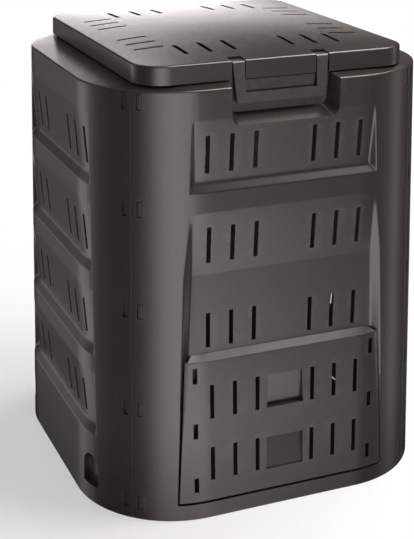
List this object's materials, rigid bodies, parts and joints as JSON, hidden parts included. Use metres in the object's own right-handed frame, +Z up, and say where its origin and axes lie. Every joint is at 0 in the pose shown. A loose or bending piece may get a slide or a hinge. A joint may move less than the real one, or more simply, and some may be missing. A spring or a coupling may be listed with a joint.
{
  "type": "garden compost bin",
  "caption": "Square plastic garden compost bin with rounded corners, slotted recessed walls, a hinged lid with a bail latch and a sliding door low in the front.",
  "frame": {"origin": "on the ground, at the bottom centre of the bin's bounding box", "axes": "+Z up, -Y out of the front face with the latch and the door, +X to the viewer's right when facing the front"},
  "size_m": [0.7198, 0.7038, 0.8808],
  "materials": {
    "wall_plastic": "satin anthracite polypropylene with a fine moulded grain",
    "lid_plastic": "satin anthracite polypropylene, slightly smoother than the walls",
    "latch_plastic": "satin anthracite polypropylene",
    "door_plastic": "satin anthracite polypropylene with a fine moulded grain",
    "pin_plastic": "smooth black acetal"
  },
  "bodies": {
    "bin": {"front_wall": "wall_plastic", "rear_wall": "wall_plastic", "left_wall": "wall_plastic", "right_wall": "wall_plastic", "hinge_pin_left": "pin_plastic", "hinge_pin_right": "pin_plastic"},
    "lid": {"lid": "lid_plastic"},
    "latch": {"lid_latch": "latch_plastic"},
    "door": {"compost_door": "door_plastic"}
  },
  "joints": [
    {"name": "lid_hinge", "type": "hinge", "parent": "bin", "child": "lid", "pos_m": [0, 0.303, 0.8455], "axis": [-1, 0, 0], "range_deg": [0, 105]},
    {"name": "latch_pivot", "type": "hinge", "parent": "lid", "child": "latch", "pos_m": [0, -0.279, 0.8545], "axis": [-1, 0, 0], "range_deg": [0, 90]},
    {"name": "door_slide", "type": "slide", "parent": "bin", "child": "door", "axis": [0, 0, 1], "range_m": [0, 0.15]}
  ]
}
